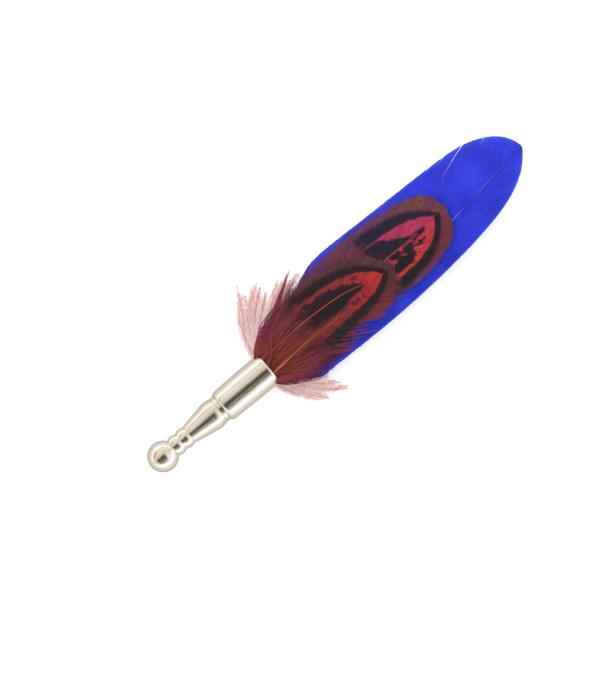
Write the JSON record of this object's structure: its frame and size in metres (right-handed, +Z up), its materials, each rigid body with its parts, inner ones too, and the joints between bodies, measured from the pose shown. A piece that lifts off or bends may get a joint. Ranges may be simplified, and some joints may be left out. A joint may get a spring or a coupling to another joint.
{
  "type": "quill pen",
  "caption": "Feather quill pen with a plated barrel, a turned pull-off cap ending in a ball, a ballpoint refill and a bundle of dyed feathers.",
  "frame": {"origin": "on the barrel's axis, in the middle of the barrel's cylindrical land", "axes": "+X along the pen from the ball to the tip of the feathers, +Z up out of the feathers' face as the pen lies flat, +Y across to the left seen from the ball"},
  "size_m": [0.13, 0.0406, 0.0134],
  "materials": {
    "plated_metal": "polished",
    "nose_metal": "satin",
    "bush_brass": "turned",
    "tip_metal": "turned",
    "ball_steel": "polished",
    "black_rubber": "matte",
    "refill_plastic": "glossy, translucent",
    "ink": "wet",
    "glue": "glossy",
    "thread": "waxed",
    "blue_shaft": "smooth horn",
    "blue_vane": "soft barbs",
    "red_shaft": "smooth horn",
    "pink_barred_vane": "soft barbs",
    "red_barred_vane": "soft barbs",
    "plum_barred_vane": "soft barbs",
    "orange_vane": "soft barbs",
    "plum_vane": "soft barbs",
    "down_shaft": "smooth horn",
    "down": "fluffy"
  },
  "bodies": {
    "feathered_barrel": {"barrel": "plated_metal", "neck_ring": "plated_metal", "guide_bush": "bush_brass", "potting_plug": "glue", "binding_thread": "thread", "blue_shaft": "blue_shaft", "blue_vane_left": "blue_vane", "blue_vane_right": "blue_vane", "long_pheasant_shaft": "red_shaft", "long_pheasant_vane_left": "pink_barred_vane", "long_pheasant_vane_right": "red_barred_vane", "short_pheasant_shaft": "red_shaft", "short_pheasant_vane_left": "plum_barred_vane", "short_pheasant_vane_right": "red_barred_vane", "orange_hackle_shaft": "red_shaft", "orange_hackle_vane_left": "orange_vane", "orange_hackle_vane_right": "orange_vane", "plum_hackle_shaft": "red_shaft", "plum_hackle_vane_left": "plum_vane", "plum_hackle_vane_right": "plum_vane", "upper_down_shaft": "down_shaft", "upper_down_tuft": "down", "lower_down_shaft": "down_shaft", "lower_down_tuft": "down"},
    "writing_unit": {"nose_section": "nose_metal", "grip_ring": "black_rubber", "ink_tube": "refill_plastic", "ink_column": "ink", "tip_body": "tip_metal"},
    "cap": {"cap_body": "plated_metal", "cap_seal": "black_rubber", "finial_ball": "plated_metal"},
    "writing_ball": {"tip_ball": "ball_steel"}
  },
  "joints": [
    {"name": "writing_unit_pull", "type": "slide", "parent": "feathered_barrel", "child": "writing_unit", "axis": [-1, 0, 0], "range_m": [0, 0.02]},
    {"name": "cap_pull", "type": "slide", "parent": "writing_unit", "child": "cap", "axis": [-1, 0, 0], "range_m": [0, 0.02]},
    {"name": "ball_roll", "type": "hinge", "parent": "writing_unit", "child": "writing_ball", "pos_m": [-0.0246, 0, 0], "axis": [0, 1, 0], "continuous": true}
  ]
}
